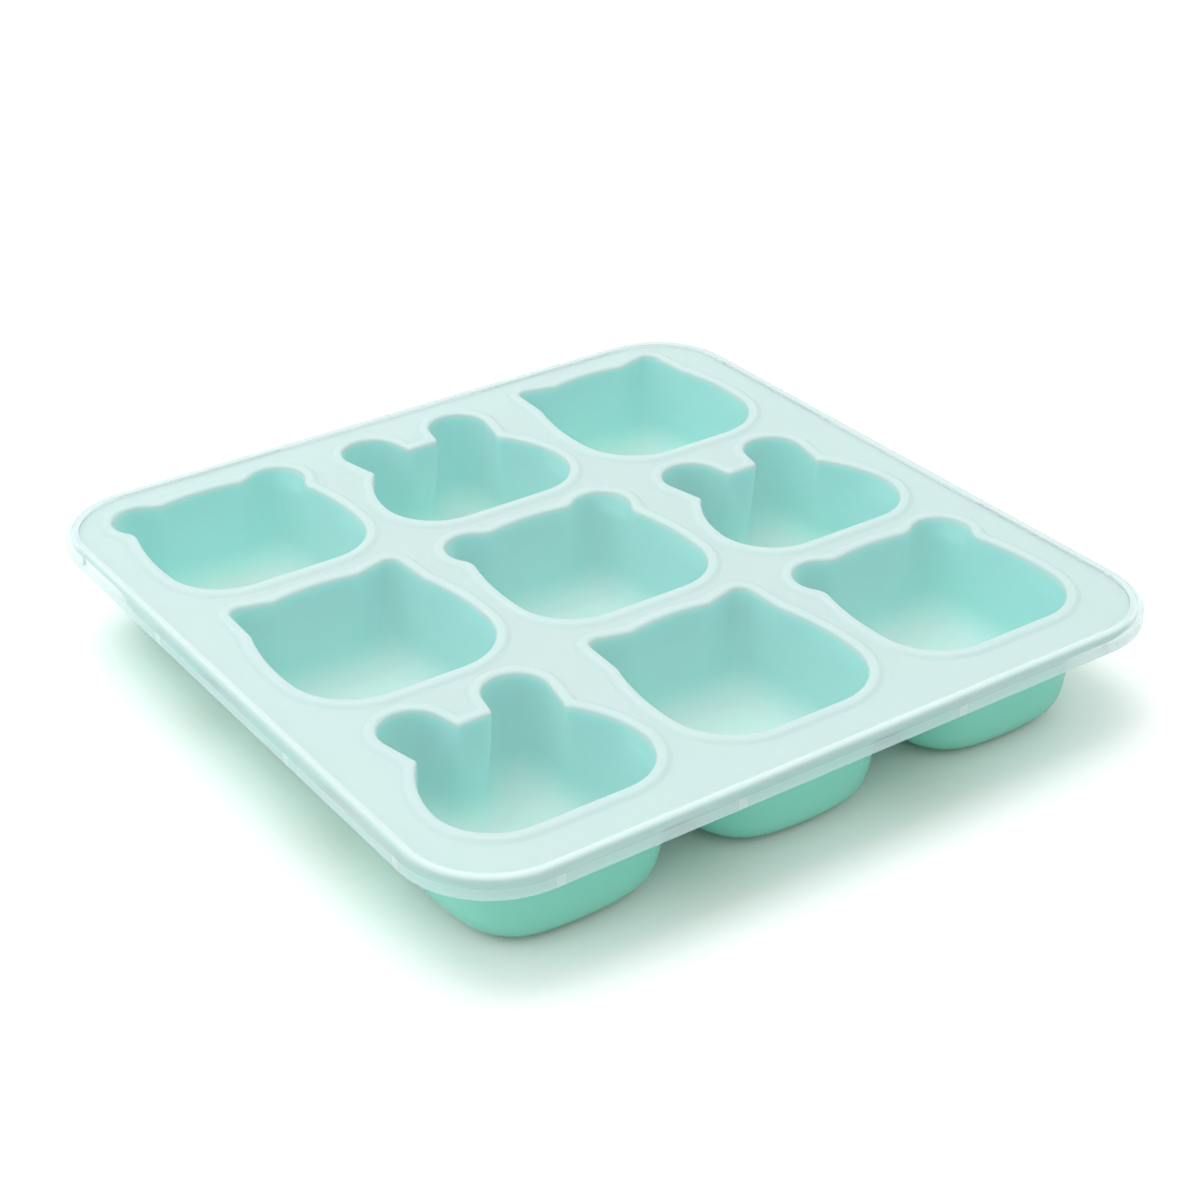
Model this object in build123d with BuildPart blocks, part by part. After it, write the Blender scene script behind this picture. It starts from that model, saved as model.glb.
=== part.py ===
from build123d import *
import os

# Silicone food mould: one soft tray of nine animal-head cups under a press-on lid.
# Millimetres, +Z up. The origin is on the table under the middle of the lid, and the cups'
# flat undersides are at Z = 0. The heads' ears point towards +Y.
os.makedirs("parts", exist_ok=True)

# Lid
LID_SIDE = 189.0
LID_CORNER = 21.5
LID_HEIGHT = 5.6
LID_PANEL = 1.5
LID_SKIRT = 1.3
LID_EDGE_ROUND = 1.2
BEAD_STAND = 0.9  # how far the grip beads stand in from the skirt
BEAD_HEIGHT = 2.8
BEAD_MIDDLE_LENGTH = 59.0
BEAD_CORNER_LEAD = 1.7  # straight run of a corner bead beyond the round
LID_CLEARANCE = 0.3  # between the beads and the edge of the deck

# Tray
DECK_BORDER = 6.5  # deck left round the square of cups
DECK_THICKNESS = 2.7
DECK_EDGE_ROUND = 0.6
ROWS_BACK = 2.2  # the heads stand this far behind the middle of the deck
CUP_DEPTH = 28.0  # deck's upper face to the cups' undersides
CUP_WALL = 2.6
CUP_FLOOR = 2.6
LAND_WIDTH = 2.9  # raised lip round each cup, which the lid lies on
LAND_HEIGHT = 0.7
LAND_GAP = 0.93  # least room between one lip and the next

# Rounded form that shapes the foot of every cup
FOOT_SIDE_SPARE = 0.4  # how far the form stands out past the widest head
FOOT_FRONT_SPARE = 1.4
FOOT_BACK_SPARE = 0.3
FOOT_SIDE_BOW = 2.9
FOOT_FRONT_BOW = 4.8
FOOT_CORNER_EASE = 1.3  # how much rounder its front corners are than a head's chin
FOOT_ROUND = 9.5  # rounding between wall and underside
FOOT_BACK_EASE = 1.5  # how much larger the back corners are than that rounding

# Bear head
BEAR_CHIN_X = 21.75
BEAR_CHIN_Y = -24.4
BEAR_BROW_X = 19.5
BEAR_BROW_Y = 19.7
BEAR_CHEEK_BOW = 4.0
BEAR_CROWN_BOW = 4.0
BEAR_CORNER = 14.2
BEAR_EAR_X = 17.8
BEAR_EAR_Y = 18.3
BEAR_EAR_RADIUS = 7.1
BEAR_EAR_BLEND = 4.6

# Rabbit head
RABBIT_CHIN_X = 21.75
RABBIT_CHIN_Y = -24.7
RABBIT_BROW_X = 15.0
RABBIT_BROW_Y = 9.9
RABBIT_CHEEK_BOW = 6.0
RABBIT_CROWN_BOW = 3.8
RABBIT_CORNER = 13.7
RABBIT_EAR_MIDDLE_X = 11.1
RABBIT_EAR_MIDDLE_Y = 10.4
RABBIT_EAR_TIP_X = 12.6
RABBIT_EAR_TIP_Y = 17.6
RABBIT_EAR_RADIUS = 7.4
RABBIT_EAR_BLEND = 1.2

# Cat head
CAT_CHIN_X = 21.1
CAT_CHIN_Y = -24.8
CAT_BROW_X = 19.1
CAT_BROW_Y = 20.1
CAT_CHEEK_BOW = 4.4
CAT_CROWN_BOW = 4.4
CAT_CORNER = 15.7
CAT_EAR_TIP_X = 21.5
CAT_EAR_TIP_Y = 26.3
CAT_EAR_OUTER_X = 22.2
CAT_EAR_OUTER_Y = 8.0
CAT_EAR_INNER_X = 6.3
CAT_EAR_INNER_Y = 22.0
CAT_EAR_ROUND = 2.7
CAT_EAR_BLEND = 2.4

# Which head is where, seen from above with the back row first
LAYOUT = (
    ("bear", "rabbit", "cat"),
    ("cat", "bear", "rabbit"),
    ("rabbit", "cat", "bear"),
)
ROW_NAMES = ("back", "middle", "front")
COLUMN_NAMES = ("left", "centre", "right")

# Worked out from the above
SKIRT_INNER_SIDE = LID_SIDE - 2 * LID_SKIRT
SKIRT_INNER_CORNER = LID_CORNER - LID_SKIRT
BEAD_INNER_SIDE = SKIRT_INNER_SIDE - 2 * BEAD_STAND
BEAD_INNER_CORNER = SKIRT_INNER_CORNER - BEAD_STAND
DECK_SIDE = BEAD_INNER_SIDE - 2 * LID_CLEARANCE
DECK_CORNER = BEAD_INNER_CORNER - LID_CLEARANCE
DECK_UNDER = CUP_DEPTH - DECK_THICKNESS
LID_SEAT = CUP_DEPTH + LAND_HEIGHT
LID_FOOT = LID_SEAT + LID_PANEL - LID_HEIGHT
CUP_PITCH = (DECK_SIDE - 2 * DECK_BORDER) / len(LAYOUT)


def bare_head(chin_x, chin_y, brow_x, brow_y, cheek_bow, crown_bow, corner):
    """A head without ears: straight chin, bowed cheeks and crown, round corners."""
    with BuildSketch() as head:
        with BuildLine():
            Line((-chin_x, chin_y), (chin_x, chin_y))
            SagittaArc((chin_x, chin_y), (brow_x, brow_y), -cheek_bow)
            SagittaArc((brow_x, brow_y), (-brow_x, brow_y), -crown_bow)
            SagittaArc((-brow_x, brow_y), (-chin_x, chin_y), -cheek_bow)
        make_face()
        fillet(head.vertices(), corner)
    return head.sketch


def with_ears(head, ear):
    """A head with an ear on each side."""
    with BuildSketch() as eared:
        add(ear)
        mirror(about=Plane.YZ)
        add(head)
    return eared.sketch


def bear_head():
    """A bear's head with round ears."""
    head = bare_head(
        BEAR_CHIN_X,
        BEAR_CHIN_Y,
        BEAR_BROW_X,
        BEAR_BROW_Y,
        BEAR_CHEEK_BOW,
        BEAR_CROWN_BOW,
        BEAR_CORNER,
    )
    with BuildSketch() as ear:
        with Locations((BEAR_EAR_X, BEAR_EAR_Y)):
            Circle(BEAR_EAR_RADIUS)
    return with_ears(head, ear.sketch)


def rabbit_head():
    """A rabbit's head with two upright ears."""
    head = bare_head(
        RABBIT_CHIN_X,
        RABBIT_CHIN_Y,
        RABBIT_BROW_X,
        RABBIT_BROW_Y,
        RABBIT_CHEEK_BOW,
        RABBIT_CROWN_BOW,
        RABBIT_CORNER,
    )
    with BuildSketch() as ear:
        SlotCenterPoint(
            (RABBIT_EAR_MIDDLE_X, RABBIT_EAR_MIDDLE_Y),
            (RABBIT_EAR_TIP_X, RABBIT_EAR_TIP_Y),
            2 * RABBIT_EAR_RADIUS,
        )
    return with_ears(head, ear.sketch)


def cat_head():
    """A cat's head with two pointed ears."""
    head = bare_head(
        CAT_CHIN_X,
        CAT_CHIN_Y,
        CAT_BROW_X,
        CAT_BROW_Y,
        CAT_CHEEK_BOW,
        CAT_CROWN_BOW,
        CAT_CORNER,
    )
    with BuildSketch() as ear:
        with BuildLine():
            Polyline(
                (CAT_EAR_INNER_X, CAT_EAR_INNER_Y),
                (CAT_EAR_OUTER_X, CAT_EAR_OUTER_Y),
                (CAT_EAR_TIP_X, CAT_EAR_TIP_Y),
                close=True,
            )
        make_face()
        fillet(ear.vertices().sort_by(Axis.Y)[-1], CAT_EAR_ROUND)
    return with_ears(head, ear.sketch)


def reach(sketches):
    """How far a set of sketches reaches: its right, front and back limits."""
    boxes = [sketch.bounding_box() for sketch in sketches.values()]
    right = max(box.max.X for box in boxes)
    front = min(box.min.Y for box in boxes)
    back = max(box.max.Y for box in boxes)
    return right, front, back


# The heads are drawn as above and then scaled to the room that each cup has in the deck
HEADS = {"bear": bear_head(), "rabbit": rabbit_head(), "cat": cat_head()}
EAR_BLENDS = {"bear": BEAR_EAR_BLEND, "rabbit": RABBIT_EAR_BLEND, "cat": CAT_EAR_BLEND}
head_right, head_front, head_back = reach(HEADS)
head_room = CUP_PITCH - 2 * LAND_WIDTH - LAND_GAP
HEAD_SCALE = head_room / max(2 * head_right, head_back - head_front)


def outline(head, grow):
    """A scaled head, moved outwards by grow, with rounded corners where its ears join."""
    with BuildSketch() as grown:
        add(HEADS[head])
        scale(by=HEAD_SCALE)
        offset(amount=grow + EAR_BLENDS[head])
        offset(amount=-EAR_BLENDS[head])
    return grown.sketch


mouths = {head: outline(head, 0) for head in HEADS}
rims = {head: outline(head, CUP_WALL) for head in HEADS}
lands = {head: outline(head, LAND_WIDTH) for head in HEADS}
rim_right, rim_front, rim_back = reach(rims)
_, land_front, land_back = reach(lands)
FOOT_HALF_WIDTH = rim_right + FOOT_SIDE_SPARE
FOOT_FRONT = rim_front - FOOT_FRONT_SPARE
FOOT_BACK = rim_back + FOOT_BACK_SPARE
head_corner = HEAD_SCALE * min(BEAR_CORNER, RABBIT_CORNER, CAT_CORNER)
FOOT_FRONT_CORNER = head_corner + CUP_WALL + FOOT_CORNER_EASE
FOOT_BACK_CORNER = FOOT_ROUND + FOOT_BACK_EASE


def foot_form(inset, underside):
    """The rounded block that shapes a cup's foot, smaller by inset all round."""
    corner_x = FOOT_HALF_WIDTH - FOOT_SIDE_BOW
    front_y = FOOT_FRONT + FOOT_FRONT_BOW
    with BuildPart() as form:
        with BuildSketch(Plane.XY.offset(DECK_UNDER)) as plan:
            with BuildLine():
                SagittaArc((-corner_x, front_y), (corner_x, front_y), -FOOT_FRONT_BOW)
                SagittaArc((corner_x, front_y), (corner_x, FOOT_BACK), -FOOT_SIDE_BOW)
                Line((corner_x, FOOT_BACK), (-corner_x, FOOT_BACK))
                SagittaArc((-corner_x, FOOT_BACK), (-corner_x, front_y), -FOOT_SIDE_BOW)
            make_face()
            fillet(plan.vertices().group_by(Axis.Y)[0], FOOT_FRONT_CORNER)
            fillet(plan.vertices().group_by(Axis.Y)[-1], FOOT_BACK_CORNER)
            if inset:
                offset(amount=-inset)
        extrude(amount=underside - DECK_UNDER)
        fillet(form.faces().sort_by(Axis.Z)[0].edges(), FOOT_ROUND - inset)
    return form.part


inner_foot = foot_form(CUP_WALL, CUP_FLOOR)
outer_foot = foot_form(0, 0)


def cup(head):
    """One cup below the deck, about its own centre: an upright wall on a rounded foot."""
    with BuildPart() as hollow:
        with BuildSketch(Plane.XY.offset(DECK_UNDER)):
            add(mouths[head])
        extrude(amount=CUP_FLOOR - DECK_UNDER)
        add(inner_foot, mode=Mode.INTERSECT)
    with BuildPart() as shell:
        with BuildSketch(Plane.XY.offset(DECK_UNDER)):
            add(rims[head])
        extrude(amount=-DECK_UNDER)
        add(outer_foot, mode=Mode.INTERSECT)
        add(hollow.part, mode=Mode.SUBTRACT)
    return shell.part


cups = {head: cup(head) for head in HEADS}
CELLS = [
    (head, column, row, ((column - 1) * CUP_PITCH, (1 - row) * CUP_PITCH + ROWS_BACK))
    for row, heads in enumerate(LAYOUT)
    for column, head in enumerate(heads)
]

# Where the deck's nine plates meet: midway between neighbouring lips
row_split = ROWS_BACK + (land_back + land_front + CUP_PITCH) / 2
COLUMN_EDGES = (-DECK_SIDE / 2, -CUP_PITCH / 2, CUP_PITCH / 2, DECK_SIDE / 2)
ROW_EDGES = (DECK_SIDE / 2, row_split, row_split - CUP_PITCH, -DECK_SIDE / 2)

# Deck: one flat sheet with a raised lip round each head-shaped mouth
with BuildPart() as deck_sheet:
    with BuildSketch(Plane.XY.offset(DECK_UNDER)):
        RectangleRounded(DECK_SIDE, DECK_SIDE, DECK_CORNER)
    extrude(amount=DECK_THICKNESS)
    fillet(deck_sheet.faces().filter_by(Axis.Z).edges(), DECK_EDGE_ROUND)
    with BuildSketch(Plane.XY.offset(CUP_DEPTH)):
        for head, _, _, centre in CELLS:
            with Locations(centre):
                add(lands[head])
    extrude(amount=LAND_HEIGHT)
    with BuildSketch(Plane.XY.offset(DECK_UNDER)):
        for head, _, _, centre in CELLS:
            with Locations(centre):
                add(mouths[head])
    extrude(amount=DECK_THICKNESS + LAND_HEIGHT, mode=Mode.SUBTRACT)

# Deck plates: the sheet in nine, one round each mouth, so that every mouth stays open
for head, column, row, centre in CELLS:
    name = f"deck_{ROW_NAMES[row]}_{COLUMN_NAMES[column]}"
    left, right = COLUMN_EDGES[column : column + 2]
    back, front = ROW_EDGES[row : row + 2]
    with BuildPart() as deck_plate:
        add(deck_sheet.part)
        with BuildSketch(Plane.XY.offset(DECK_UNDER)):
            with Locations(((left + right) / 2, (back + front) / 2)):
                Rectangle(right - left, back - front)
        extrude(amount=DECK_THICKNESS + LAND_HEIGHT, mode=Mode.INTERSECT)
    deck_plate.part.label = name
    export_step(deck_plate.part, f"parts/{name}.step")

# Cups: nine, hanging from the deck's underside round its mouths
for head, column, row, centre in CELLS:
    name = f"cup_{ROW_NAMES[row]}_{COLUMN_NAMES[column]}_{head}"
    with BuildPart() as placed_cup:
        with Locations(centre):
            add(cups[head])
    placed_cup.part.label = name
    export_step(placed_cup.part, f"parts/{name}.step")

# Lid: flat panel with a short skirt, whose beads grip the edge of the deck
with BuildPart() as lid:
    with BuildSketch(Plane.XY.offset(LID_FOOT)):
        RectangleRounded(LID_SIDE, LID_SIDE, LID_CORNER)
    extrude(amount=LID_HEIGHT)
    fillet(lid.faces().sort_by(Axis.Z)[-1].edges(), LID_EDGE_ROUND)
    with BuildSketch(Plane.XY.offset(LID_FOOT)):
        RectangleRounded(SKIRT_INNER_SIDE, SKIRT_INNER_SIDE, SKIRT_INNER_CORNER)
    extrude(amount=LID_HEIGHT - LID_PANEL, mode=Mode.SUBTRACT)
    bead_free_from = BEAD_MIDDLE_LENGTH / 2
    bead_free_to = LID_SIDE / 2 - LID_CORNER - BEAD_CORNER_LEAD
    bead_free_middle = (bead_free_from + bead_free_to) / 2
    bead_free_length = bead_free_to - bead_free_from
    with BuildSketch(Plane.XY.offset(LID_FOOT)):
        RectangleRounded(SKIRT_INNER_SIDE, SKIRT_INNER_SIDE, SKIRT_INNER_CORNER)
        RectangleRounded(
            BEAD_INNER_SIDE,
            BEAD_INNER_SIDE,
            BEAD_INNER_CORNER,
            mode=Mode.SUBTRACT,
        )
        with GridLocations(2 * bead_free_middle, 0, 2, 1):
            Rectangle(bead_free_length, LID_SIDE, mode=Mode.SUBTRACT)
        with GridLocations(0, 2 * bead_free_middle, 1, 2):
            Rectangle(LID_SIDE, bead_free_length, mode=Mode.SUBTRACT)
    extrude(amount=BEAD_HEIGHT)
lid.part.label = "lid"
export_step(lid.part, "parts/lid.step")
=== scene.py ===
import math

import bmesh
import bpy
import numpy as np
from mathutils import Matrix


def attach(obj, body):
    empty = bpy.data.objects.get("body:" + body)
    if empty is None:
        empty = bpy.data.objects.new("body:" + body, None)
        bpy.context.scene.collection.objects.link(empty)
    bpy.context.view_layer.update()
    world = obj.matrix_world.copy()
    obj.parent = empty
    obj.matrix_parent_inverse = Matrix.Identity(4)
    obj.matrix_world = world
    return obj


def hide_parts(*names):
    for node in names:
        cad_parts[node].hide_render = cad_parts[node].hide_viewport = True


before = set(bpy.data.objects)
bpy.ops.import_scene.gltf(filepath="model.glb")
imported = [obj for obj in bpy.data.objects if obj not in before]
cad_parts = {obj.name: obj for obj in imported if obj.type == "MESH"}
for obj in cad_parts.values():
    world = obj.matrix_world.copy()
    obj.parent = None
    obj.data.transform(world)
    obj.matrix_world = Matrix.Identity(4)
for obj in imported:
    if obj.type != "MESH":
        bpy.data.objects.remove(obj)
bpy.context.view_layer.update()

# Tray
# One soft moulding of food-grade silicone: a flat deck with nine head-shaped cups under it.
# It is pressed in a closed mould, so one skin runs from the deck over each mouth's raised lip,
# down into the cup and round its outside. Sizes are in millimetres.
PITCH = 57.0
ROWS_BACK = 2.2
DECK_SIDE = 184.0
DECK_CORNER = 19.0
DECK_TOP = 28.0
DECK_UNDER = 25.3
DECK_EDGE = 0.9
DECK_EDGE_CLEAR = 0.3
LIP_WIDTH = 2.9
LIP_RISE = 0.68
LIP_TOP = DECK_TOP + LIP_RISE
WALL = 2.6
FLOOR = 2.6
WALL_DRAFT = math.tan(math.radians(1.2))
POINT_SPACING = 1.05
PER_METRE = 1000

HEADS = {
    "bear": {
        "chin": (21.75, -24.4),
        "brow": (19.5, 19.7),
        "cheek_bow": 4.0,
        "crown_bow": 4.0,
        "corner": 14.2,
        "ear_blend": 4.6,
        "ear_inside": (17.8, 18.3),
    },
    "rabbit": {
        "chin": (21.75, -24.7),
        "brow": (15.0, 9.9),
        "cheek_bow": 6.0,
        "crown_bow": 3.8,
        "corner": 13.7,
        "ear_blend": 1.2,
        "ear_inside": (11.4, 12.0),
    },
    "cat": {
        "chin": (21.1, -24.8),
        "brow": (19.1, 20.1),
        "cheek_bow": 4.4,
        "crown_bow": 4.4,
        "corner": 15.7,
        "ear_blend": 2.4,
        "ear_inside": (17.5, 20.0),
    },
}
LAYOUT = (
    ("bear", "rabbit", "cat"),
    ("cat", "bear", "rabbit"),
    ("rabbit", "cat", "bear"),
)
ROW_NAMES = ("back", "middle", "front")
COLUMN_NAMES = ("left", "centre", "right")


def bowed_edge(start, end, bow, count=90):
    """Points and outward normals along an edge, counter-clockwise, bowed out by bow."""
    start = np.array(start, float)
    chord = np.array(end, float) - start
    half = np.linalg.norm(chord) / 2
    ahead = chord / (2 * half)
    out = np.array((ahead[1], -ahead[0]))
    if bow == 0:
        along = np.linspace(0, 1, count)[:, None]
        return start + along * chord, np.tile(out, (count, 1))
    radius = (half**2 + bow**2) / (2 * bow)
    middle = start + chord / 2 - out * (radius - bow)
    swing = math.asin(half / radius)
    turn = np.linspace(-swing, swing, count)[:, None]
    normals = np.cos(turn) * out + np.sin(turn) * ahead
    return middle + radius * normals, normals


def round_edge(middle, radius, first, last, count=60):
    """Points and outward normals of a round edge about middle, between two angles."""
    turn = np.linspace(first, last, count)
    normals = np.stack((np.cos(turn), np.sin(turn)), axis=1)
    return np.array(middle) + radius * normals, normals


def edge_crossing(one, other):
    """Where two edges cross: the place along each, in steps, and the point."""
    a, b = one[:-1, None], one[1:, None]
    c, d = other[None, :-1], other[None, 1:]
    u, v, w = b - a, d - c, c - a
    turn = u[..., 0] * v[..., 1] - u[..., 1] * v[..., 0]
    turn = np.where(np.abs(turn) < 1e-12, 1e-12, turn)
    s = (w[..., 0] * v[..., 1] - w[..., 1] * v[..., 0]) / turn
    t = (w[..., 0] * u[..., 1] - w[..., 1] * u[..., 0]) / turn
    rows, columns = np.nonzero((s >= 0) & (s <= 1) & (t >= 0) & (t <= 1))
    i, j = rows[-1], columns[-1]
    point = one[i] + s[i, j] * (one[i + 1] - one[i])
    return i + s[i, j], j + t[i, j], point


def stretch(values, first, last, count):
    """Values spread evenly along the stretch of an edge between two places."""
    inner = np.arange(math.floor(first) + 1, math.ceil(last))
    places = np.concatenate(([first], inner, [last]))
    steps = np.arange(len(values))
    part = np.stack([np.interp(places, steps, values[:, k]) for k in range(values.shape[1])], 1)
    run = np.concatenate(([0], np.cumsum(np.linalg.norm(np.diff(part[:, :2], axis=0), axis=1))))
    even = np.linspace(0, run[-1], count)
    return np.stack([np.interp(even, run, part[:, k]) for k in range(part.shape[1])], 1)


def join_edges(edges, level, eases, counts=None, closed=True):
    """Trims edges that follow each other, moved out by level, and rounds the corners between
    them: inner corners where the ease is positive, outer ones where it is negative."""
    total = len(edges)
    corners = total if closed else total - 1
    cuts = []
    for k in range(corners):
        shift = level + eases[k]
        one = edges[k][0] + shift * edges[k][1]
        other = edges[(k + 1) % total][0] + shift * edges[(k + 1) % total][1]
        cuts.append(edge_crossing(one, other))
    pieces = []
    made = []
    for k, (points, normals) in enumerate(edges):
        first = cuts[k - 1][1] if closed or k else 0.0
        last = cuts[k][0] if k < corners else len(points) - 1.0
        both = np.concatenate((points + level * normals, normals), axis=1)
        if counts is None:
            length = np.linalg.norm(np.diff(stretch(both, first, last, 60)[:, :2], axis=0), axis=1)
            made.append(max(4, math.ceil(length.sum() / POINT_SPACING)))
        else:
            made.append(counts[2 * k])
        pieces.append(stretch(both, first, last, made[-1]))
        if k >= corners:
            continue
        following = (k + 1) % total
        n_first = pieces[-1][-1, 2:]
        next_normals = edges[following][1]
        steps = np.arange(len(next_normals))
        n_last = np.array([np.interp(cuts[k][1], steps, axis) for axis in next_normals.T])
        swing = math.atan2(n_first[0] * n_last[1] - n_first[1] * n_last[0], n_first @ n_last)
        if counts is None:
            made.append(max(5, math.ceil(abs(swing * eases[k]) / (0.7 * POINT_SPACING))))
        else:
            made.append(counts[2 * k + 1])
        turn = math.atan2(n_first[1], n_first[0]) + swing * np.linspace(0, 1, made[-1] + 2)[1:-1]
        arc_normals = np.stack((np.cos(turn), np.sin(turn)), axis=1)
        pieces.append(np.concatenate((cuts[k][2] - eases[k] * arc_normals, arc_normals), axis=1))
    return np.concatenate(pieces), made


def mirrored(edge):
    """The same edge on the head's other side."""
    flip = np.array((-1.0, 1.0))
    return edge[0][::-1] * flip, edge[1][::-1] * flip


def right_ear(head):
    """The edge of a head's right ear, from inside the head round to inside the head."""
    if head == "bear":
        middle, radius = (17.8, 18.3), 7.1
        return round_edge(middle, radius, -0.75 * math.pi, 1.25 * math.pi, 200)
    if head == "rabbit":
        low, tip, radius = np.array((11.1, 10.4)), np.array((12.6, 17.6)), 7.4
        lean = math.atan2(*(tip - low)[::-1])
        quarter = math.pi / 2
        side = round_edge((0, 0), radius, lean - quarter, lean + quarter, 2)[1]
        parts = (
            round_edge(low, radius, lean - 2 * quarter, lean - quarter),
            bowed_edge(low + radius * side[0], tip + radius * side[0], 0),
            round_edge(tip, radius, lean - quarter, lean + quarter, 110),
            bowed_edge(tip + radius * side[1], low + radius * side[1], 0),
            round_edge(low, radius, lean + quarter, lean + 2 * quarter),
        )
        return np.concatenate([p[0] for p in parts]), np.concatenate([p[1] for p in parts])
    outer, tip, inner, tip_round = (22.2, 8.0), (21.5, 26.3), (6.3, 22.0), 2.7
    sides = (bowed_edge(outer, tip, 0), bowed_edge(tip, inner, 0))
    joined, _ = join_edges(sides, 0.0, (-tip_round,), (80, 40, 80), closed=False)
    return joined[:, :2], joined[:, 2:]


def head_edges(head):
    """A head as four edges that overlap: crown, left ear, jaw and right ear."""
    form = HEADS[head]
    chin_x, chin_y = form["chin"]
    brow_x, brow_y = form["brow"]
    sides = (
        bowed_edge((-chin_x, chin_y), (chin_x, chin_y), 0),
        bowed_edge((chin_x, chin_y), (brow_x, brow_y), form["cheek_bow"]),
        bowed_edge((brow_x, brow_y), (-brow_x, brow_y), form["crown_bow"]),
        bowed_edge((-brow_x, brow_y), (-chin_x, chin_y), form["cheek_bow"]),
    )
    loop, _ = join_edges(sides, 0.0, [-form["corner"]] * 4, [70, 50] * 4)
    ear_x, ear_y = form["ear_inside"]
    right = int(np.argmin(np.hypot(loop[:, 0] - ear_x, loop[:, 1] - ear_y)))
    left = int(np.argmin(np.hypot(loop[:, 0] + ear_x, loop[:, 1] - ear_y)))
    crown = loop[right:left + 1]
    jaw = np.concatenate((loop[left:], loop[:right + 1]))
    ear = right_ear(head)
    return [(crown[:, :2], crown[:, 2:]), mirrored(ear), (jaw[:, :2], jaw[:, 2:]), ear]


head_sides = {head: head_edges(head) for head in HEADS}
head_counts = {
    head: join_edges(sides, 0.0, [HEADS[head]["ear_blend"]] * 4)[1]
    for head, sides in head_sides.items()
}


def head_ring(head, level):
    """A head's outline about its own centre, moved outwards by level."""
    blends = [HEADS[head]["ear_blend"]] * 4
    return join_edges(head_sides[head], level, blends, head_counts[head])[0][:, :2]


# The foot of every cup follows one rounded block, so that the nine undersides look alike
FOOT_HALF = 23.6
FOOT_FRONT = -26.4
FOOT_BACK = 29.5
FOOT_FRONT_BOW = 4.8
FOOT_SIDE_BOW = 2.9
FOOT_FRONT_CORNER = 17.0
FOOT_BACK_CORNER = 11.5
FOOT_ROUND = 10.4
FOOT_OWN_ROUND = 4.5
FLOOR_ROUND = 7.5
FLOOR_OWN_ROUND = 6.5
OWN_ROUND_SHARE = 0.8
FOOT_DRAFT = math.tan(math.radians(3.0))
FOOT_BLEND = 1.0
FOOT_BLEND_DEPTH = 8
FOOT_SOFTENING = 2.0
WALL_SOFTENING = 6.5
WALL_SOFT_FROM = 0.04
WALL_STEPS = 7
ROUND_STEPS = 11
EAR_INSET = 3.2
foot_loop, _ = join_edges(
    (
        bowed_edge((-FOOT_HALF, FOOT_FRONT), (FOOT_HALF, FOOT_FRONT), FOOT_FRONT_BOW),
        bowed_edge((FOOT_HALF, FOOT_FRONT), (FOOT_HALF, FOOT_BACK), FOOT_SIDE_BOW),
        bowed_edge((FOOT_HALF, FOOT_BACK), (-FOOT_HALF, FOOT_BACK), 0),
        bowed_edge((-FOOT_HALF, FOOT_BACK), (-FOOT_HALF, FOOT_FRONT), FOOT_SIDE_BOW),
    ),
    0.0,
    (-FOOT_FRONT_CORNER, -FOOT_BACK_CORNER, -FOOT_BACK_CORNER, -FOOT_FRONT_CORNER),
    (90, 50) * 4,
)


def softened(ring, reach):
    """A ring whose small turns are evened out over a reach along it."""
    if reach < 0.05:
        return ring
    steps = np.linalg.norm(np.roll(ring, -1, axis=0) - ring, axis=1)
    run = np.concatenate(([0], np.cumsum(steps)[:-1]))
    apart = np.abs(run[:, None] - run[None])
    apart = np.minimum(apart, steps.sum() - apart)
    weights = np.exp(-0.5 * (apart / reach) ** 2) * (steps + np.roll(steps, 1))[None]
    return weights @ ring / weights.sum(axis=1, keepdims=True)


def quarter_turn(steps):
    """Angles of a quarter turn, for rounding an edge in a few steps."""
    return np.linspace(0, math.pi / 2, steps)


def rounding(radius, above):
    """How far a round edge of that radius has turned in at a height above its lowest point."""
    if above >= radius:
        return 0.0
    return radius - math.sqrt(max(0.0, radius**2 - (radius - above) ** 2))


def at_height(ring, height):
    """A flat ring set at one height."""
    return np.column_stack((ring, np.full(len(ring), height)))


def foot_rings(head, top, bottom, level, block_inset, round_radius, own_round):
    """Rings of a cup's wall from top down to its flat bottom, each a little smaller and softer."""
    heights = list(np.linspace(top, bottom + round_radius, WALL_STEPS)[:-1])
    heights += [bottom + round_radius * (1 - math.sin(a)) for a in quarter_turn(ROUND_STEPS)]
    rings = []
    for height in heights:
        above = height - bottom
        depth = (top - height) / (top - bottom)
        draft = (top - height) * WALL_DRAFT
        inward = draft + OWN_ROUND_SHARE * rounding(own_round, above) - level
        ring = head_ring(head, -min(inward, EAR_INSET))
        ring = softened(ring, WALL_SOFTENING * max(0.0, depth - WALL_SOFT_FROM))
        if inward > EAR_INSET:
            ahead = np.roll(ring, -1, axis=0) - np.roll(ring, 1, axis=0)
            ahead /= np.linalg.norm(ahead, axis=1)[:, None]
            ring = ring + (inward - EAR_INSET) * np.column_stack((-ahead[:, 1], ahead[:, 0]))
        inset = block_inset + (DECK_UNDER - height) * FOOT_DRAFT + rounding(round_radius, above)
        apart = ring[:, None] - foot_loop[None, :, :2]
        near = np.argmin((apart**2).sum(axis=2), axis=1)
        normals = foot_loop[near, 2:]
        over = (apart[np.arange(len(ring)), near] * normals).sum(axis=1) + inset
        blend = FOOT_BLEND * min(1.0, (top - height) / FOOT_BLEND_DEPTH)
        ring = ring - normals * ((over + np.sqrt(over**2 + blend**2)) / 2)[:, None]
        rings.append(at_height(softened(ring, FOOT_SOFTENING * depth**2), height))
    return rings


LIP_CLEAR = 0.6
LIP_FOOT = 0.45
LIP_SLOPE = 1.6
LIP_STEPS = 6
MOUTH_ROUND = 0.7


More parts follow.
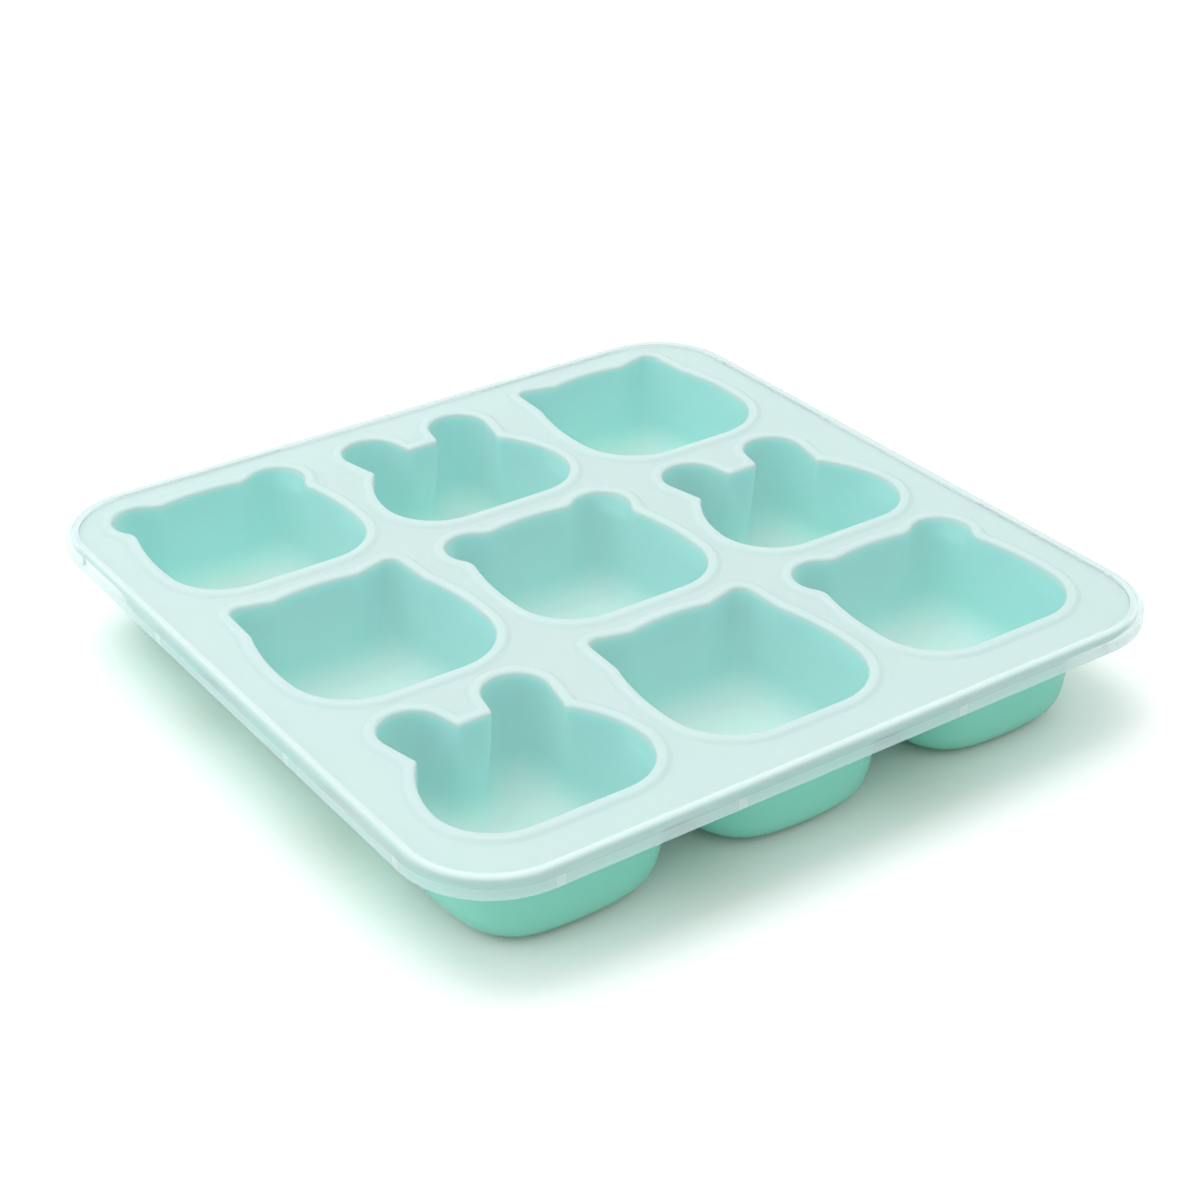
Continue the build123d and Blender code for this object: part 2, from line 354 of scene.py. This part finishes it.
def mouth_rings(head):
    """Rings from the flat deck over the raised lip to the top of the cup's inner wall."""
    profile = [(LIP_WIDTH + LIP_CLEAR, DECK_TOP)]
    for k in range(LIP_STEPS + 1):
        rise = LIP_RISE * (1 - math.cos(math.pi * k / LIP_STEPS)) / 2
        profile.append((LIP_WIDTH + LIP_FOOT - LIP_SLOPE * k / LIP_STEPS, DECK_TOP + rise))
    for a in quarter_turn(6):
        profile.append((MOUTH_ROUND * (1 - math.sin(a)), LIP_TOP - MOUTH_ROUND * (1 - math.cos(a))))
    return [at_height(head_ring(head, level), height) for level, height in profile]


def square_ring(side, corner, height, steps=14):
    """A square with round corners, counter-clockwise from above."""
    points = []
    reach = side / 2 - corner
    for number, (x, y) in enumerate(((1, 1), (-1, 1), (-1, -1), (1, -1))):
        for a in quarter_turn(steps) + number * math.pi / 2:
            point = x * reach + corner * math.cos(a), y * reach + corner * math.sin(a), height
            points.append(point)
    return np.array(points)


def skin_rings(mesh, rings, finish, capped=False):
    """Adds rings to a mesh and joins each to the next; gives back their points."""
    rows = [[mesh.verts.new(point / PER_METRE) for point in ring] for ring in rings]
    for one, other in zip(rows, rows[1:]):
        for k in range(len(one)):
            following = (k + 1) % len(one)
            face = mesh.faces.new((one[k], one[following], other[following], other[k]))
            face.material_index = finish
    if capped:
        mesh.faces.new(rows[-1]).material_index = finish
    return rows


def loop_edges(mesh, row):
    """The edges round one ring."""
    pairs = [(row[k - 1], row[k]) for k in range(len(row))]
    return [mesh.edges.get(pair) or mesh.edges.new(pair) for pair in pairs]


def fill_between(mesh, edges, finish):
    """A flat face inside the outermost ring of edges and outside the others."""
    for item in bmesh.ops.triangle_fill(mesh, use_beauty=True, edges=edges)["geom"]:
        if isinstance(item, bmesh.types.BMFace):
            item.material_index = finish


def smooth_object(name, mesh):
    """A shown object made of a finished mesh, with outward faces."""
    bmesh.ops.recalc_face_normals(mesh, faces=mesh.faces)
    for face in mesh.faces:
        face.smooth = True
    data = bpy.data.meshes.new(name)
    mesh.to_mesh(data)
    mesh.free()
    made = bpy.data.objects.new(name, data)
    bpy.context.scene.collection.objects.link(made)
    return made


UNDER_ROUND = 0.55
UNDER_CLEAR = 0.12
BELOW_DECK = 0.6
cup_skins = {}
for head in HEADS:
    mouth = mouth_rings(head)
    inside = foot_rings(head, mouth[-1][0, 2], FLOOR, 0.0, WALL, FLOOR_ROUND, FLOOR_OWN_ROUND)
    outside = foot_rings(head, DECK_UNDER, 0.0, WALL, 0.0, FOOT_ROUND, FOOT_OWN_ROUND)
    under = []
    for a in quarter_turn(4):
        level = WALL + UNDER_ROUND * (1 - math.sin(a)) + (UNDER_CLEAR if a == 0 else 0)
        under.append(at_height(head_ring(head, level), DECK_UNDER - UNDER_ROUND * (1 - math.cos(a))))
    below = [ring for ring in outside if ring[0, 2] < DECK_UNDER - BELOW_DECK]
    cup_skins[head] = (mouth + inside[1:], under + below)

# Inside the cups and on the deck the first finish carries painted light and shade; on the cups'
# outsides and under the deck the second carries painted shade.
MATT_WITH_PAINTED_LIGHT_AND_SHADE, SMOOTH_WITH_PAINTED_SHADE = 0, 1
tray_mesh = bmesh.new()
top_edges = []
under_edges = []
tray_nodes = []
for row, heads in enumerate(LAYOUT):
    for column, head in enumerate(heads):
        spot = f"{ROW_NAMES[row]}_{COLUMN_NAMES[column]}"
        tray_nodes += [f"deck_{spot}", f"cup_{spot}_{head}"]
        place = np.array(((column - 1) * PITCH, (1 - row) * PITCH + ROWS_BACK, 0.0))
        inner, outer = cup_skins[head]
        inner_rows = skin_rings(tray_mesh, [ring + place for ring in inner], MATT_WITH_PAINTED_LIGHT_AND_SHADE, capped=True)
        top_edges += loop_edges(tray_mesh, inner_rows[0])
        outer_rows = skin_rings(tray_mesh, [ring + place for ring in outer], SMOOTH_WITH_PAINTED_SHADE, capped=True)
        under_edges += loop_edges(tray_mesh, outer_rows[0])
flat_side = DECK_SIDE - 2 * DECK_EDGE - DECK_EDGE_CLEAR
edge_rings = [square_ring(flat_side, DECK_CORNER - DECK_EDGE, DECK_TOP)]
for a in quarter_turn(5):
    inset, drop = DECK_EDGE * (1 - math.sin(a)), DECK_EDGE * (1 - math.cos(a))
    edge_rings.append(square_ring(DECK_SIDE - 2 * inset, DECK_CORNER - inset, DECK_TOP - drop))
for a in quarter_turn(5):
    inset, rise = DECK_EDGE * (1 - math.cos(a)), DECK_EDGE * (1 - math.sin(a))
    edge_rings.append(square_ring(DECK_SIDE - 2 * inset, DECK_CORNER - inset, DECK_UNDER + rise))
edge_rings.append(square_ring(flat_side, DECK_CORNER - DECK_EDGE, DECK_UNDER))
edge_rows = skin_rings(tray_mesh, edge_rings, MATT_WITH_PAINTED_LIGHT_AND_SHADE)
top_edges += loop_edges(tray_mesh, edge_rows[0])
under_edges += loop_edges(tray_mesh, edge_rows[-1])
fill_between(tray_mesh, top_edges, MATT_WITH_PAINTED_LIGHT_AND_SHADE)
fill_between(tray_mesh, under_edges, SMOOTH_WITH_PAINTED_SHADE)
tray = smooth_object("silicone_tray", tray_mesh)


# Sockets of a colour mix: its factor, its two colours and its result
MIX_FACTOR, MIX_FIRST, MIX_SECOND, MIX_RESULT = 0, 6, 7, 2
GLOSS_SPREAD = 0.07


def silicone_with_painted_light(name, tones, roughness):
    """Mint silicone whose tone changes with height, as painted light and shade: paler where light
    falls, deeper where shade falls.
    """
    silicone = bpy.data.materials.new(name)
    silicone.use_nodes = True
    nodes, links = silicone.node_tree.nodes, silicone.node_tree.links
    skin = nodes["Principled BSDF"]
    place = nodes.new("ShaderNodeTexCoord")
    split = nodes.new("ShaderNodeSeparateXYZ")
    links.new(place.outputs["Object"], split.inputs[0])
    rise = nodes.new("ShaderNodeMapRange")
    rise.inputs["From Max"].default_value = LIP_TOP / PER_METRE
    links.new(split.outputs["Z"], rise.inputs["Value"])
    mottle = nodes.new("ShaderNodeTexNoise")
    mottle.inputs["Scale"].default_value = 46.0
    mottle.inputs["Detail"].default_value = 3.0
    links.new(place.outputs["Object"], mottle.inputs["Vector"])
    tone = nodes.new("ShaderNodeValToRGB")
    while len(tone.color_ramp.elements) < len(tones):
        tone.color_ramp.elements.new(0.5)
    for stop, (height, colour) in zip(tone.color_ramp.elements, tones):
        stop.position = height / LIP_TOP
        stop.color = (*colour, 1)
    links.new(rise.outputs["Result"], tone.inputs["Fac"])
    uneven = nodes.new("ShaderNodeMix")
    uneven.data_type = "RGBA"
    uneven.blend_type = "MULTIPLY"
    uneven.inputs[MIX_FACTOR].default_value = 0.04
    links.new(tone.outputs["Color"], uneven.inputs[MIX_FIRST])
    links.new(mottle.outputs["Color"], uneven.inputs[MIX_SECOND])
    links.new(uneven.outputs[MIX_RESULT], skin.inputs["Base Color"])
    gloss = nodes.new("ShaderNodeMapRange")
    gloss.inputs["To Min"].default_value = roughness - GLOSS_SPREAD
    gloss.inputs["To Max"].default_value = roughness + GLOSS_SPREAD
    links.new(mottle.outputs["Fac"], gloss.inputs["Value"])
    links.new(gloss.outputs["Result"], skin.inputs["Roughness"])
    grain = nodes.new("ShaderNodeTexNoise")
    grain.inputs["Scale"].default_value = 2600.0
    grain.inputs["Detail"].default_value = 2.0
    links.new(place.outputs["Object"], grain.inputs["Vector"])
    relief = nodes.new("ShaderNodeBump")
    relief.inputs["Strength"].default_value = 0.06
    relief.inputs["Distance"].default_value = 0.00006
    links.new(grain.outputs["Fac"], relief.inputs["Height"])
    links.new(relief.outputs["Normal"], skin.inputs["Normal"])
    skin.inputs["IOR"].default_value = 1.41
    skin.inputs["Specular IOR Level"].default_value = 0.35
    skin.inputs["Subsurface Weight"].default_value = 0.75
    skin.inputs["Subsurface Radius"].default_value = (0.9, 1.0, 0.95)
    skin.inputs["Subsurface Scale"].default_value = 0.005
    return silicone


# Painted light and shade: the pale floor and the paler, greyer deck are painted light, and the
# deeper cup walls between them are painted shade.
matt_tones_painted_light_and_shade = (
    (3.0, (0.66, 0.91, 0.83)),
    (5.5, (0.55, 0.875, 0.81)),
    (10.5, (0.41, 0.81, 0.78)),
    (26.8, (0.39, 0.80, 0.775)),
    (27.9, (0.57, 0.735, 0.715)),
)
# Painted shade: the cups' outsides turn deeper green at their bottom edge and up under the deck.
smooth_tones_painted_shade = (
    (0.3, (0.10, 0.62, 0.38)),
    (3.5, (0.38, 0.89, 0.74)),
    (14.0, (0.38, 0.89, 0.75)),
    (23.5, (0.04, 0.55, 0.30)),
)
tray.data.materials.append(silicone_with_painted_light("mint_silicone_matt_painted_light_and_shade", matt_tones_painted_light_and_shade, 0.58))
tray.data.materials.append(silicone_with_painted_light("mint_silicone_smooth_painted_shade", smooth_tones_painted_shade, 0.48))
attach(tray, "tray")
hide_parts(*tray_nodes)

# Lid
# One frosted, see-through soft plastic moulding: a flat panel with a short skirt round it.
# It is pressed down over the deck, and raised beads inside the skirt grip the deck's edge.
LID_SIDE = 189.0
LID_CORNER = 21.5
LID_TOP = 30.2
LID_UNDER = 28.72
LID_FOOT = 24.6
SKIRT = 1.3
LID_EDGE = 1.2
LID_EDGE_CLEAR = 0.4
SKIRT_ROUND = 0.45
PANEL_FILLET = 0.5
BORDER = 3.2
BEAD_STAND = 0.9
BEAD_TOP = LID_FOOT + 2.8
BEAD_ROUND = 0.5
BEAD_HALF = 29.5
BEAD_CORNER_FROM = 71.3
BEAD_END = 0.5
BEAD_TIP = 1.6
STRAIGHT_STEPS = 41
CORNER_STEPS = 16


def lid_ring(inset, height, stand=0.0):
    """A ring of the lid, inset from its outside; stand pushes the beads further in."""
    straight = LID_SIDE / 2 - LID_CORNER
    ends = (BEAD_HALF - BEAD_TIP, BEAD_HALF, BEAD_HALF + BEAD_END,
            BEAD_CORNER_FROM - BEAD_END, BEAD_CORNER_FROM, BEAD_CORNER_FROM + BEAD_TIP)
    evenly = np.linspace(-straight, straight, STRAIGHT_STEPS)[1:-1]
    every = [*evenly, *ends, *(-m for m in ends)]
    marks = sorted({round(m, 3) for m in every if abs(m) < straight})
    points = []
    for number in range(4):
        turn = number * math.pi / 2
        ahead = np.array((-math.sin(turn), math.cos(turn)))
        out = np.array((math.cos(turn), math.sin(turn)))
        for along in marks:
            bead = 1.0
            if BEAD_HALF < abs(along) < BEAD_CORNER_FROM:
                past_middle_bead = abs(along) - BEAD_HALF
                before_corner_bead = BEAD_CORNER_FROM - abs(along)
                bead = max(0.0, 1 - past_middle_bead / BEAD_END, 1 - before_corner_bead / BEAD_END)
            reach = LID_SIDE / 2 - inset - stand * bead
            points.append((*(reach * out + along * ahead), height))
        middle = straight * (out + ahead)
        radius = LID_CORNER - inset - stand
        for a in quarter_turn(CORNER_STEPS):
            points.append((*(middle + radius * (math.cos(a) * out + math.sin(a) * ahead)), height))
    return np.array(points)


def lid_inset(x, y):
    """How far a point lies inside the lid's outline."""
    straight = LID_SIDE / 2 - LID_CORNER
    past_x, past_y = abs(x) - straight, abs(y) - straight
    if past_x > 0 and past_y > 0:
        return LID_CORNER - math.hypot(past_x, past_y)
    return LID_SIDE / 2 - max(abs(x), abs(y))


PANEL, RIM, BEAD, BAND, TIP, EDGE = 0, 1, 2, 3, 4, 5
ON_OUTSIDE = 0.1
ON_INNER_WALL = (0.9 * SKIRT, 1.1 * SKIRT)
lid_mesh = bmesh.new()
lid_rings = [lid_ring(LID_EDGE + LID_EDGE_CLEAR, LID_TOP)]
for a in quarter_turn(7):
    lid_rings.append(lid_ring(LID_EDGE * (1 - math.sin(a)), LID_TOP - LID_EDGE * (1 - math.cos(a))))
lid_rings.append(lid_ring(0.0, BEAD_TOP))
for a in quarter_turn(5):
    inset, rise = SKIRT_ROUND * (1 - math.cos(a)), SKIRT_ROUND * (1 - math.sin(a))
    lid_rings.append(lid_ring(inset, LID_FOOT + rise))
for a in quarter_turn(5):
    inset, rise = SKIRT - SKIRT_ROUND * (1 - math.sin(a)), SKIRT_ROUND * (1 - math.cos(a))
    lid_rings.append(lid_ring(inset, LID_FOOT + rise, BEAD_STAND * math.sin(a)))
for a in quarter_turn(5):
    height = BEAD_TOP - BEAD_ROUND + BEAD_ROUND * math.sin(a)
    lid_rings.append(lid_ring(SKIRT, height, BEAD_STAND * math.cos(a)))
for a in quarter_turn(5):
    inset, drop = SKIRT + PANEL_FILLET * (1 - math.cos(a)), PANEL_FILLET * (1 - math.sin(a))
    lid_rings.append(lid_ring(inset, LID_UNDER - drop))
lid_rings.append(lid_ring(BORDER, LID_UNDER))
lid_rows = skin_rings(lid_mesh, lid_rings, RIM)
for face in lid_mesh.faces:
    middle = PER_METRE * face.calc_center_median()
    inset = lid_inset(middle.x, middle.y)
    along = min(abs(middle.x), abs(middle.y))
    if middle.z < BEAD_TOP and not ON_INNER_WALL[0] < inset < ON_INNER_WALL[1]:
        # Bead ends, on the bead and on the skirt's outside over it, get the tip finish, a painted
        # highlight.
        at_end = BEAD_HALF - BEAD_TIP < along < BEAD_HALF + BEAD_END
        at_start = BEAD_CORNER_FROM - BEAD_END < along < BEAD_CORNER_FROM + BEAD_TIP
        face.material_index = TIP if at_end or at_start else BEAD
    elif middle.z > LID_TOP - LID_EDGE or inset < ON_OUTSIDE:
        face.material_index = BAND
    # The border under the panel gets the edge finish, which paints shade.
    elif inset > SKIRT + PANEL_FILLET:
        face.material_index = EDGE
fill_between(lid_mesh, loop_edges(lid_mesh, lid_rows[0]), PANEL)
fill_between(lid_mesh, loop_edges(lid_mesh, lid_rows[-1]), PANEL)
lid = smooth_object("frosted_lid", lid_mesh)

# The film is see-through, and its haze is a little cloudier in places. Some finishes also carry
# painted light and shade, noted at each.
CLOUDIER = 1.05
for finish, opacity, tint in (
    ("frosted_panel", 0.05, (0.90, 0.93, 0.935, 1)),
    # Inner skirt wall: real haze, plus painted light that lifts the shaded slot between the deck's
    # edge and the skirt.
    ("frosted_rim_painted_light", 0.56, (0.86, 0.99, 0.97, 1)),
    # Beads: thicker plastic is cloudier, and the mint tint partly paints in the mint deck seen
    # through it.
    ("frosted_bead", 0.52, (0.76, 1.0, 0.985, 1)),
    # Top rounding and skirt outside: real haze, and a mint tint that partly paints in the mint deck
    # seen through it.
    ("frosted_band", 0.30, (0.76, 0.93, 0.91, 1)),
    # Bead ends: a painted highlight where the ends of the beads catch the light.
    ("frosted_tip_painted_highlight", 0.66, (0.83, 1.0, 0.985, 1)),
    # Border under the panel: more haze, and a greyer sheet of painted shade over the shaded deck
    # edge and slot behind it.
    ("frosted_edge_painted_shade", 0.75, (0.74, 0.855, 0.85, 1)),
):
    plastic = bpy.data.materials.new(finish)
    plastic.use_nodes = True
    nodes, links = plastic.node_tree.nodes, plastic.node_tree.links
    film = nodes["Principled BSDF"]
    film.inputs["Alpha"].default_value = opacity
    film.inputs["IOR"].default_value = 1.5
    film.inputs["Specular IOR Level"].default_value = 0.3
    place = nodes.new("ShaderNodeTexCoord")
    cloud = nodes.new("ShaderNodeTexNoise")
    cloud.inputs["Scale"].default_value = 30.0
    cloud.inputs["Detail"].default_value = 4.0
    links.new(place.outputs["Object"], cloud.inputs["Vector"])
    haze = nodes.new("ShaderNodeMix")
    haze.data_type = "RGBA"
    haze.inputs[MIX_FIRST].default_value = tint
    haze.inputs[MIX_SECOND].default_value = (*(min(1.0, CLOUDIER * part) for part in tint[:3]), 1)
    links.new(cloud.outputs["Fac"], haze.inputs[MIX_FACTOR])
    links.new(haze.outputs[MIX_RESULT], film.inputs["Base Color"])
    matt = nodes.new("ShaderNodeMapRange")
    matt.inputs["To Min"].default_value = 0.36
    matt.inputs["To Max"].default_value = 0.52
    links.new(cloud.outputs["Fac"], matt.inputs["Value"])
    links.new(matt.outputs["Result"], film.inputs["Roughness"])
    frost = nodes.new("ShaderNodeTexNoise")
    frost.inputs["Scale"].default_value = 3400.0
    frost.inputs["Detail"].default_value = 2.0
    links.new(place.outputs["Object"], frost.inputs["Vector"])
    relief = nodes.new("ShaderNodeBump")
    relief.inputs["Strength"].default_value = 0.08
    relief.inputs["Distance"].default_value = 0.00005
    links.new(frost.outputs["Fac"], relief.inputs["Height"])
    links.new(relief.outputs["Normal"], film.inputs["Normal"])
    lid.data.materials.append(plastic)
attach(lid, "lid")
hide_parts("lid")

# Table
# A plain white sheet that the tray stands on. It shows white where nothing shades it, and it
# keeps the tray's soft shadow.
TABLE_HALF = 4.0
TABLE_DROP = 0.00005
PAPER_BOUNCE = 0.64
PAPER_SEEN = 1.25
table_mesh = bmesh.new()
bmesh.ops.create_grid(table_mesh, x_segments=4, y_segments=4, size=TABLE_HALF)
table_data = bpy.data.meshes.new("table")
table_mesh.to_mesh(table_data)
table_mesh.free()
table = bpy.data.objects.new("table", table_data)
table.location = (0, 0, -TABLE_DROP)
bpy.context.scene.collection.objects.link(table)
paper = bpy.data.materials.new("white_paper")
paper.use_nodes = True
nodes, links = paper.node_tree.nodes, paper.node_tree.links
nodes.remove(nodes["Principled BSDF"])
sheet = nodes.new("ShaderNodeBsdfDiffuse")
ray = nodes.new("ShaderNodeLightPath")
seen = nodes.new("ShaderNodeMix")
seen.data_type = "RGBA"
seen.inputs[MIX_FIRST].default_value = (PAPER_BOUNCE, PAPER_BOUNCE, PAPER_BOUNCE, 1)
seen.inputs[MIX_SECOND].default_value = (PAPER_SEEN, PAPER_SEEN, PAPER_SEEN, 1)
straight = nodes.new("ShaderNodeMath")
straight.operation = "MAXIMUM"
links.new(ray.outputs["Is Camera Ray"], straight.inputs[0])
links.new(ray.outputs["Is Transmission Ray"], straight.inputs[1])
shown = nodes.new("ShaderNodeMath")
shown.operation = "MAXIMUM"
links.new(straight.outputs[0], shown.inputs[0])
links.new(ray.outputs["Is Glossy Ray"], shown.inputs[1])
links.new(shown.outputs[0], seen.inputs[MIX_FACTOR])
links.new(seen.outputs[MIX_RESULT], sheet.inputs["Color"])
links.new(sheet.outputs[0], nodes["Material Output"].inputs["Surface"])
table.data.materials.append(paper)

# Light
# A white studio: even light from all round that fades towards the table, one large soft box
# overhead, a little behind, and a weaker one at the left side.
world = bpy.data.worlds.new("studio")
world.use_nodes = True
bpy.context.scene.world = world
nodes, links = world.node_tree.nodes, world.node_tree.links
sky_place = nodes.new("ShaderNodeTexCoord")
sky_split = nodes.new("ShaderNodeSeparateXYZ")
links.new(sky_place.outputs["Generated"], sky_split.inputs[0])
sky_rise = nodes.new("ShaderNodeMapRange")
sky_rise.inputs["From Max"].default_value = 0.7
sky_rise.inputs["To Min"].default_value = 0.20
sky_rise.inputs["To Max"].default_value = 0.94
links.new(sky_split.outputs["Z"], sky_rise.inputs["Value"])
links.new(sky_rise.outputs["Result"], nodes["Background"].inputs["Strength"])
nodes["Background"].inputs["Color"].default_value = (1, 1, 1, 1)
for name, watts, place, turns in (
    ("soft_box", 3.8, (-0.15, 0.15, 1.00), (-8.5, -8.5, 0)),
    ("side_box", 1.3, (-0.85, 0.20, 0.45), (0, -63.0, -13.0)),
):
    lamp = bpy.data.lights.new(name, "AREA")
    lamp.shape = "SQUARE"
    lamp.size = 0.8
    lamp.energy = watts
    box = bpy.data.objects.new(name, lamp)
    box.location = place
    box.rotation_euler = [math.radians(turn) for turn in turns]
    bpy.context.scene.collection.objects.link(box)

# Camera
# It stands in front of the tray and to its left, about 29 degrees up, with a short telephoto
# lens, so that it sees the tray as the photograph does.
lens = bpy.data.cameras.new("camera")
lens.lens = 71.88
lens.sensor_width = 36.0
lens.clip_start = 0.01
camera = bpy.data.objects.new("camera", lens)
camera.location = (-0.27134, -0.39489, 0.29525)
camera.rotation_euler = [math.radians(turn) for turn in (59.925, 0.355, -34.991)]
bpy.context.scene.collection.objects.link(camera)
bpy.context.scene.camera = camera
bpy.context.scene.view_settings.view_transform = "Standard"
